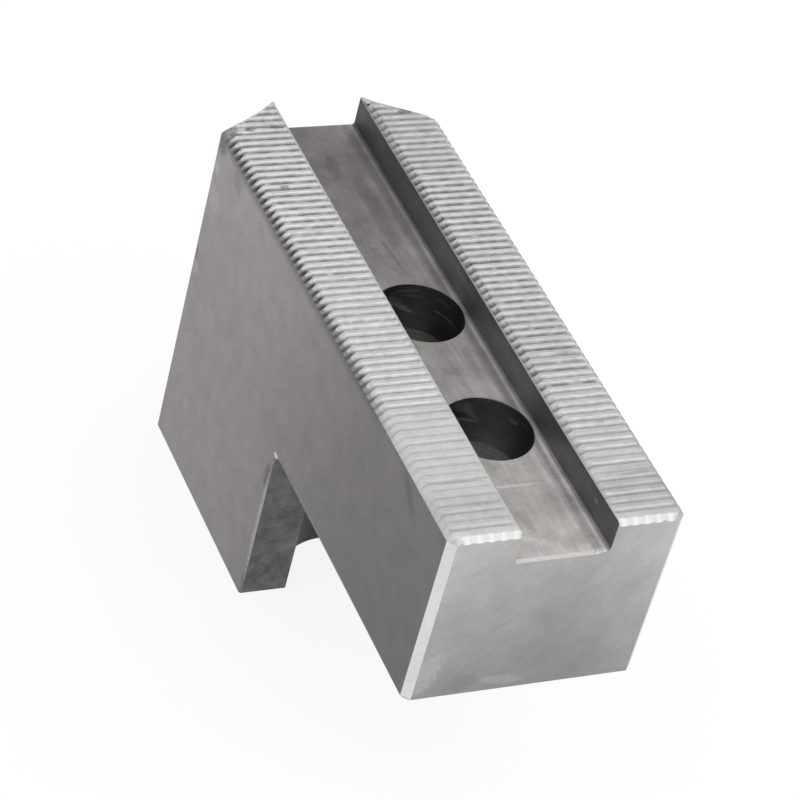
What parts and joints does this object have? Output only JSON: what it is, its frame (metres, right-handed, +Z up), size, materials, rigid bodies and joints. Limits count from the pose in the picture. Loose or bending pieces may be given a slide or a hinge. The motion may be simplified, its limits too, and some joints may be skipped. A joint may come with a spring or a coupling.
{
  "type": "reverse chuck jaw",
  "caption": "Solid steel top jaw for a power chuck: a serrated, slotted mounting face, counterbored screw holes, a pointed end and a stepped foot.",
  "frame": {"origin": "middle of the jaw's footprint, at the level of the foot's sole", "axes": "+X across the rails, +Y along the jaw from its square end to its pointed end, +Z up from the sole to the serrated face"},
  "size_m": [0.035, 0.095, 0.058],
  "materials": {
    "machined_steel": "bare steel, milled sides and slot, ground serrations, broken edges"
  },
  "bodies": {
    "root": {"reverse_jaw": "machined_steel"}
  },
  "joints": []
}
